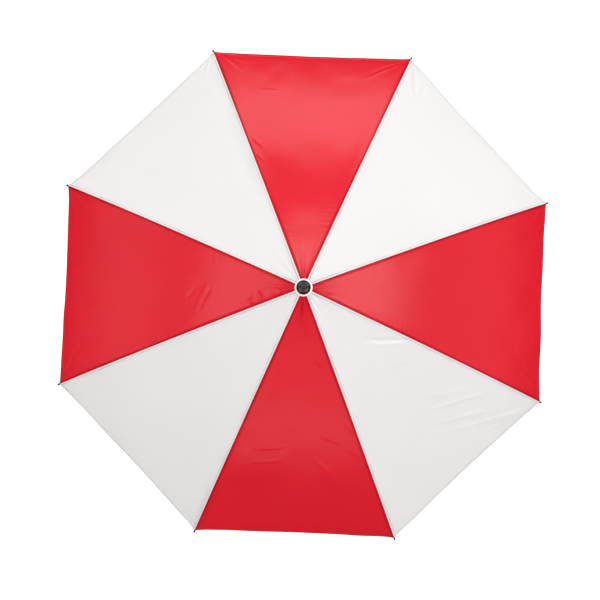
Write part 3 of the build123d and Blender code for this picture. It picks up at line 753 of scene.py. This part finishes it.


# Lines on the cloth: distance of the middle from the seam or the hem, half width, and strength.
# Beside the seams they are painted light: a painted fold shadow where the seam allowance ends, a band
# of painted shade on the red cloth and of painted highlight, tinted pink, on the white, and painted
# shade at the seam's very edge on the red cloth, a pink tint there on the white. Along the hem the
# cloth is only darker.
SEAM_FOLD_SHADOW = (SEAM_ALLOWANCE - 0.0008, 0.0013, 0.75)
SEAM_SHADING_BAND = (0.0, 0.0031, 0.95)
SEAM_EDGE_SHADE_AND_TINT = (0.0, 0.0011, 0.80)
HEM_EDGE = (0.0, 0.0034, 0.80)
HEM_LINE = (HEM_WIDTH, 0.0006, 0.25)
LINE_FADE = (0.6, 1.3)                # where a line fades, in its half widths
FOLD_SHADOW_PATCHES = 9.0               # how often the painted fold shadow beside a seam comes and goes, per metre
LINE_STRENGTHS = (0.15, 1.0)          # between which it does so
THREAD_PITCH = 0.00045
CLOTH_TRANSLUCENCE = 0.38
CLOTH_GLOSS = 0.60                    # and less on the seam, where the cloth is rumpled
SEAM_GLOSS = 0.10
GLOSS_EDGE = (0.0025, 0.0050)         # distances from the seam between the two
POLISH_RANGE = (-0.015, 0.025)        # added to the roughness, in patches


def cloth_lines(cloth, base, deep, seam_shading, seam_edge_shade_and_tint, line, seam_shading_patches):
    """The cloth's colour, with painted shade, painted highlight and a painted fold shadow beside its
    seams, and darker lines along its hem.
    """
    edges = cloth.node("ShaderNodeSeparateXYZ")
    cloth.link(cloth.node("ShaderNodeUVMap", uv_map="edges").outputs["UV"], edges.inputs[0])
    seam_distance = edges.outputs["X"]
    hem_distance = edges.outputs["Y"]

    def near(distance, middle, half_line, strength):
        off = cloth.maths("ABSOLUTE", cloth.maths("SUBTRACT", distance, middle))
        fade_start, fade_end = (half_line * share for share in LINE_FADE)
        return cloth.spread(off, strength, 0.0, fade_start, fade_end)

    def uneven(share, scale):
        patches = cloth.spread(cloth.noise(scale, 2.0), *LINE_STRENGTHS, 0.35, 0.65)
        return cloth.maths("MULTIPLY", share, patches)

    tone = cloth.mix(cloth.spread(cloth.noise(3.0, 2.0), 0.0, 1.0, 0.2, 0.8), base, deep)
    # A painted fold shadow where the seam allowance ends underneath.
    tone = cloth.mix(uneven(near(seam_distance, *SEAM_FOLD_SHADOW), FOLD_SHADOW_PATCHES), tone, line)
    # A band over the seam: painted shade on the red cloth, painted highlight tinted pink on the white.
    tone = cloth.mix(uneven(near(seam_distance, *SEAM_SHADING_BAND), seam_shading_patches), tone, seam_shading)
    # At the seam's very edge: painted shade on the red cloth, a pink tint on the white.
    tone = cloth.mix(near(seam_distance, *SEAM_EDGE_SHADE_AND_TINT), tone, seam_edge_shade_and_tint)
    tone = cloth.mix(near(hem_distance, *HEM_EDGE), tone, line)
    tone = cloth.mix(near(hem_distance, *HEM_LINE), tone, line)
    return tone, seam_distance


def add_weave(cloth):
    """Fine crossed threads over a faint crumple."""
    weave = cloth.node("ShaderNodeSeparateXYZ")
    cloth.link(cloth.node("ShaderNodeUVMap", uv_map="sheet").outputs["UV"], weave.inputs[0])
    per_metre = 2 * math.pi / THREAD_PITCH
    warp = cloth.maths("SINE", cloth.maths("MULTIPLY", weave.outputs["X"], per_metre))
    weft = cloth.maths("SINE", cloth.maths("MULTIPLY", weave.outputs["Y"], per_metre))
    crumple = cloth.bump(cloth.noise(45.0, 3.0), strength=0.05, distance=0.0010)
    threads = cloth.maths("MULTIPLY", warp, weft)
    cloth.bump(threads, strength=0.04, distance=0.00008, below=crumple)


def cloth_material(name, base, deep, seam_shading, seam_edge_shade_and_tint, line, roughness, seam_shading_patches):
    """Thin satin polyester: fine weave, soft sheen, light through the sheet, hem lines, and painted
    shade, highlight and fold shadow beside the seams.
    """
    cloth = Material(name, base, roughness, Specular_IOR_Level=CLOTH_GLOSS)
    tone, seam_distance = cloth_lines(cloth, base, deep, seam_shading, seam_edge_shade_and_tint, line, seam_shading_patches)
    cloth.colour_from(tone)
    add_weave(cloth)
    gloss = cloth.spread(seam_distance, SEAM_GLOSS, CLOTH_GLOSS, *GLOSS_EDGE)
    cloth.link(gloss, cloth.shader.inputs["Specular IOR Level"])
    smoother, rougher = POLISH_RANGE
    polish = cloth.spread(cloth.noise(12.0, 2.0), roughness + smoother, roughness + rougher, 0.1, 0.9)
    cloth.roughness_from(polish)

    glow = cloth.node("ShaderNodeBsdfTranslucent")
    cloth.link(tone, glow.inputs["Color"])
    both = cloth.node("ShaderNodeMixShader", Fac=CLOTH_TRANSLUCENCE)
    cloth.link(cloth.shader.outputs[0], both.inputs[1])
    cloth.link(glow.outputs[0], both.inputs[2])
    cloth.link(both.outputs[0], cloth.tree.nodes["Material Output"].inputs["Surface"])
    return cloth.material


def webbing_material(name, base):
    """Doubled cloth with a coarse thread across it."""
    band = Material(name, base, 0.6, Sheen_Weight=0.3)
    threads = band.texture("ShaderNodeTexWave", "Fac", Scale=900.0, Distortion=0.4)
    band.bump(threads, strength=0.25, distance=0.0002)
    faded = band.spread(band.noise(60.0), 0.0, 0.6)
    band.colour_from(band.mix(faded, base, shade(base, 0.7)))
    return band.material


def thread_material(name, base):
    """Sewing thread, twisted."""
    thread = Material(name, base, 0.55, Sheen_Weight=0.4)
    twist = thread.texture("ShaderNodeTexWave", "Fac", Scale=1500.0, bands_direction="DIAGONAL")
    thread.bump(twist, strength=0.3, distance=0.0001)
    return thread.material


def plastic_material(name, base, roughness, grain, grain_strength):
    """Moulded plastic: a fine grain, uneven polish, and paler handling marks."""
    plastic = Material(name, base, roughness, Specular_IOR_Level=0.5)
    plastic.bump(plastic.noise(grain, 5.0), strength=grain_strength, distance=0.0003)
    polish = plastic.spread(plastic.noise(90.0, 4.0), roughness * 0.8, roughness * 1.35)
    plastic.roughness_from(polish)
    marks = plastic.spread(plastic.noise(140.0, 6.0), 0.0, 0.35, 0.45, 0.75)
    plastic.colour_from(plastic.mix(marks, base, shade(base, 1.8, 0.01)))
    return plastic.material


HIGHLIGHT_AND_SCUFF_START = 0.011                   # below the ferrule's top
HIGHLIGHT_AND_SCUFF_FULL = 0.003
FERRULE_ROUGHNESS = 0.40
SCUFF_ROUGHNESS = 0.60


def ferrule_material(name, base, highlight_and_scuff):
    """Moulded plastic whose rounded end is paler and duller: a painted highlight on the dome's top,
    together with scuffs from the ground.
    """
    ferrule = Material(name, base, FERRULE_ROUGHNESS, Specular_IOR_Level=0.22)
    place = ferrule.node("ShaderNodeSeparateXYZ")
    ferrule.link(ferrule.node("ShaderNodeTexCoord").outputs["Object"], place.inputs[0])
    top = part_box("ferrule")[1].z
    # Paler towards the top: a painted highlight on the dome, together with scuffs.
    end = ferrule.spread(place.outputs["Z"], 0.0, 1.0, top - HIGHLIGHT_AND_SCUFF_START, top - HIGHLIGHT_AND_SCUFF_FULL)
    scratches = ferrule.spread(ferrule.noise(700.0, 6.0), 0.55, 1.0, 0.35, 0.65)
    ferrule.colour_from(ferrule.mix(ferrule.maths("MULTIPLY", end, scratches), base, highlight_and_scuff))
    ferrule.roughness_from(ferrule.spread(end, FERRULE_ROUGHNESS, SCUFF_ROUGHNESS, 0.0, 1.0))
    ferrule.bump(ferrule.noise(600.0, 5.0), strength=0.08, distance=0.0003)
    return ferrule.material


def metal_material(name, base, roughness, streak):
    """Bare or plated steel with drawing marks and faint stains."""
    metal = Material(name, base, roughness, Metallic=0.6)
    metal.bump(metal.noise(streak, 6.0), strength=0.08, distance=0.0002)
    polish = metal.spread(metal.noise(streak * 0.5, 4.0), roughness * 0.7, roughness * 1.4)
    metal.roughness_from(polish)
    stains = metal.spread(metal.noise(35.0, 3.0), 0.0, 0.6)
    metal.colour_from(metal.mix(stains, base, shade(base, 0.75)))
    return metal.material


def painted_material(name, base, roughness):
    """Black coating on steel or fibreglass, with a slight orange peel and rubbed spots."""
    paint = Material(name, base, roughness, Coat_Weight=0.3, Coat_Roughness=0.15)
    paint.bump(paint.noise(700.0, 2.0), strength=0.05, distance=0.0002)
    polish = paint.spread(paint.noise(70.0, 4.0), roughness * 0.85, roughness * 1.3)
    paint.roughness_from(polish)
    rubbed = paint.spread(paint.noise(45.0, 6.0), 0.0, 0.4, 0.5, 0.8)
    paint.colour_from(paint.mix(rubbed, base, shade(base, 2.2, 0.01)))
    return paint.material


def foam_material(name, base):
    """Closed-cell foam: pin-prick cells under a dull skin."""
    foam = Material(name, base, 0.85, Specular_IOR_Level=0.25, Sheen_Weight=0.15)
    cells = foam.texture("ShaderNodeTexVoronoi", "Distance", Scale=1100.0)
    pits = foam.bump(cells, strength=0.5, distance=0.0004)
    foam.bump(foam.noise(60.0, 4.0), strength=0.15, distance=0.0010, below=pits)
    dusty = foam.spread(foam.noise(25.0, 5.0), 0.0, 0.5)
    foam.colour_from(foam.mix(dusty, base, shade(base, 1.7)))
    return foam.material


def paint_cad(node, material):
    """Gives a CAD node one material."""
    slots = frame["nodes"][node].data.materials
    slots.clear()
    slots.append(material)


# ---- build the canopy ------------------------------------------------------------------------
# Beside their seams both cloths carry painted light: on the red a painted shade, on the white a painted
# highlight tinted pink, and on both a painted fold shadow in the line colour.
cloths = {
    "red": cloth_material(
        "red_satin",
        base=colour(0.76, 0.0018, 0.021),
        deep=colour(0.71, 0.0014, 0.018),
        seam_shading=colour(0.34, 0.0, 0.006),
        seam_edge_shade_and_tint=colour(0.36, 0.0, 0.006),
        line=colour(0.40, 0.001, 0.010),
        roughness=0.30,
        seam_shading_patches=7.0,
    ),
    "white": cloth_material(
        "white_satin",
        base=colour(0.80, 0.798, 0.792),
        deep=colour(0.775, 0.772, 0.768),
        seam_shading=colour(0.97, 0.86, 0.85),
        seam_edge_shade_and_tint=colour(0.95, 0.60, 0.60),
        line=colour(0.47, 0.47, 0.49),
        roughness=0.31,
        seam_shading_patches=4.0,
    ),
}
threads = {
    "red": thread_material("red_thread", colour(0.50, 0.008, 0.015)),
    "white": thread_material("white_thread", colour(0.70, 0.70, 0.69)),
}

for gore in range(1, GORE_COUNT + 1):
    for side in SIDE_NAMES:
        half_gore_piece(gore, side, cloths[gore_colour(gore)])
        hem_stitches(gore, side, threads[gore_colour(gore)])
for rib in range(1, GORE_COUNT + 1):
    seam_stitches(rib, threads["white"])
    rib_ties(rib, threads["white"])
tie_strap(webbing_material("red_webbing", colour(0.55, 0.010, 0.018)))

# ---- finish the hard parts -------------------------------------------------------------------
black_plastic = plastic_material("black_nylon", colour(0.022, 0.022, 0.023), 0.42, 900.0, 0.12)
gloss_black = plastic_material("gloss_black", colour(0.008, 0.008, 0.008), 0.24, 500.0, 0.02)
# The paler black of the ferrule's end: a painted highlight together with scuffs.
highlight_and_scuff_black = colour(0.045, 0.043, 0.040)
ferrule_black = ferrule_material("ferrule_black", colour(0.006, 0.0055, 0.005), highlight_and_scuff_black)
white_plastic = plastic_material("white_plastic", colour(0.86, 0.86, 0.85), 0.30, 500.0, 0.03)
black_paint = painted_material("black_coating", colour(0.020, 0.020, 0.022), 0.32)
black_rod = painted_material("fibreglass", colour(0.028, 0.028, 0.030), 0.40)
bright_steel = metal_material("bright_steel", colour(0.62, 0.62, 0.63), 0.28, 800.0)
spring_steel = metal_material("spring_steel", colour(0.45, 0.46, 0.48), 0.33, 600.0)
snap_metal = metal_material("plated_snap", colour(0.74, 0.74, 0.76), 0.12, 400.0)
grip_foam = foam_material("grip_foam", colour(0.020, 0.020, 0.021))

finishes = {
    "shaft_tube": black_paint,
    "top_notch": black_plastic,
    "notch_wire": bright_steel,
    "notch_pin": bright_steel,
    "inner_rosette": white_plastic,
    "outer_rosette": white_plastic,
    "ferrule": ferrule_black,
    "stop_pin": bright_steel,
    "catch_pins": bright_steel,
    "upper_catch": spring_steel,
    "lower_catch": spring_steel,
    "runner": black_plastic,
    "runner_wire": bright_steel,
    "handle_core": black_plastic,
    "handle_grip": grip_foam,
    "handle_collar": gloss_black,
    "handle_cap": gloss_black,
    "strap_snaps": snap_metal,
}
for rib in range(1, GORE_COUNT + 1):
    finishes[f"rib_{rib}"] = black_rod
    finishes[f"rib_fittings_{rib}"] = black_paint
    finishes[f"stretcher_{rib}"] = black_paint
for node, material in finishes.items():
    paint_cad(node, material)


# ---- floor, light and camera -----------------------------------------------------------------
FLOOR_HALF = 6.0
FLOOR_GAP = 0.0005                    # under the handle's end
FLOOR_GLOW = 0.45


def add_floor():
    """A plain pale floor that also glows a little, as a sheet lit from below does."""
    floor_z = min(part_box("handle_cap")[0].z, 0.0) - FLOOR_GAP
    signs = ((-1, -1), (1, -1), (1, 1), (-1, 1))
    corners = [(FLOOR_HALF * x, FLOOR_HALF * y, floor_z) for x, y in signs]
    pale = Material("pale_floor", colour(0.90, 0.90, 0.90), 0.9)
    pale.shader.inputs["Emission Color"].default_value = colour(1, 1, 1)
    pale.shader.inputs["Emission Strength"].default_value = FLOOR_GLOW
    floor = new_object("floor", corners, [(0, 1, 2, 3)], pale.material)
    floor.visible_glossy = False


# Soft boxes around the canopy: azimuth and angle from straight up in degrees, side in metres,
# and brightness against the white floor.
LIGHT_DISTANCE = 3.2
LIGHT_AIM_BELOW_PIVOTS = 0.135
SOFT_BOXES = {
    "right": (0, 46, 1.50, 3.90),
    "right_low": (0, 84, 1.50, 0.60),
    "corner": (45, 42, 1.30, 0.60),
    "back": (90, 37, 1.40, 4.80),
    "back_low": (90, 85, 1.40, 3.00),
    "left": (180, 48, 1.40, 2.40),
    "left_low": (180, 84, 1.40, 0.80),
    "front": (270, 69, 1.10, 1.35),
    "front_high": (270, 46, 1.00, 0.85),
}


def add_lights():
    """Soft boxes on a sphere around the canopy, all facing it and hidden from the camera."""
    centre = Vector((0, 0, rib_arc.pivot_up - LIGHT_AIM_BELOW_PIVOTS))
    for name, (azimuth, fall, side, brightness) in SOFT_BOXES.items():
        light = bpy.data.lights.new(name, "AREA")
        light.size = side
        light.energy = brightness * math.pi * side ** 2
        lamp = bpy.data.objects.new(name, light)
        turn = math.radians(azimuth)
        lean = math.radians(fall)
        level = math.sin(lean)
        away = Vector((level * math.cos(turn), level * math.sin(turn), math.cos(lean)))
        lamp.location = centre + LIGHT_DISTANCE * away
        lamp.rotation_euler = (-away).to_track_quat("-Z", "Y").to_euler()
        lamp.visible_camera = False
        bpy.context.scene.collection.objects.link(lamp)


SURROUND_FOR_LIGHT = 0.88
SURROUND_FOR_CAMERA = 1.0


def add_world():
    """An even white surround, pure white to the camera and hidden from glossy reflections."""
    world = bpy.data.worlds.new("studio")
    world.use_nodes = True
    tree = world.node_tree
    background = tree.nodes["Background"]
    background.inputs["Color"].default_value = colour(1, 1, 1)
    rays = tree.nodes.new("ShaderNodeLightPath")
    strength = tree.nodes.new("ShaderNodeMapRange")
    strength.inputs["To Min"].default_value = SURROUND_FOR_LIGHT
    strength.inputs["To Max"].default_value = SURROUND_FOR_CAMERA
    tree.links.new(rays.outputs["Is Camera Ray"], strength.inputs["Value"])
    tree.links.new(strength.outputs["Result"], background.inputs["Strength"])
    bpy.context.scene.world = world
    world.cycles_visibility.glossy = False


CAMERA_ABOVE_NOTCH = 3.0              # metres
CAMERA_OFF_AXIS = (-0.0036, -0.1188)  # the camera stands slightly to the umbrella's -Y side
CAMERA_TILT = math.radians(1.745)     # and looks back by this much
CAMERA_SIDE_TILT = math.radians(0.08)
CAMERA_ROLL = math.radians(2.14)
CAMERA_LENS = 81.9                    # millimetres on the default 36 mm sensor


def add_camera():
    """A long lens that looks down on the canopy."""
    camera = bpy.data.cameras.new("camera")
    camera.lens = CAMERA_LENS
    view = bpy.data.objects.new("camera", camera)
    place = Vector((*CAMERA_OFF_AXIS, rib_arc.pivot_up + CAMERA_ABOVE_NOTCH))
    turn = Matrix.Rotation(CAMERA_ROLL, 4, "Z")
    tilt = Matrix.Rotation(CAMERA_TILT, 4, "X") @ Matrix.Rotation(CAMERA_SIDE_TILT, 4, "Y")
    view.matrix_world = turn @ Matrix.Translation(place) @ tilt
    bpy.context.scene.collection.objects.link(view)
    bpy.context.scene.camera = view


add_floor()
add_lights()
add_world()
add_camera()
bpy.context.scene.view_settings.view_transform = "Standard"
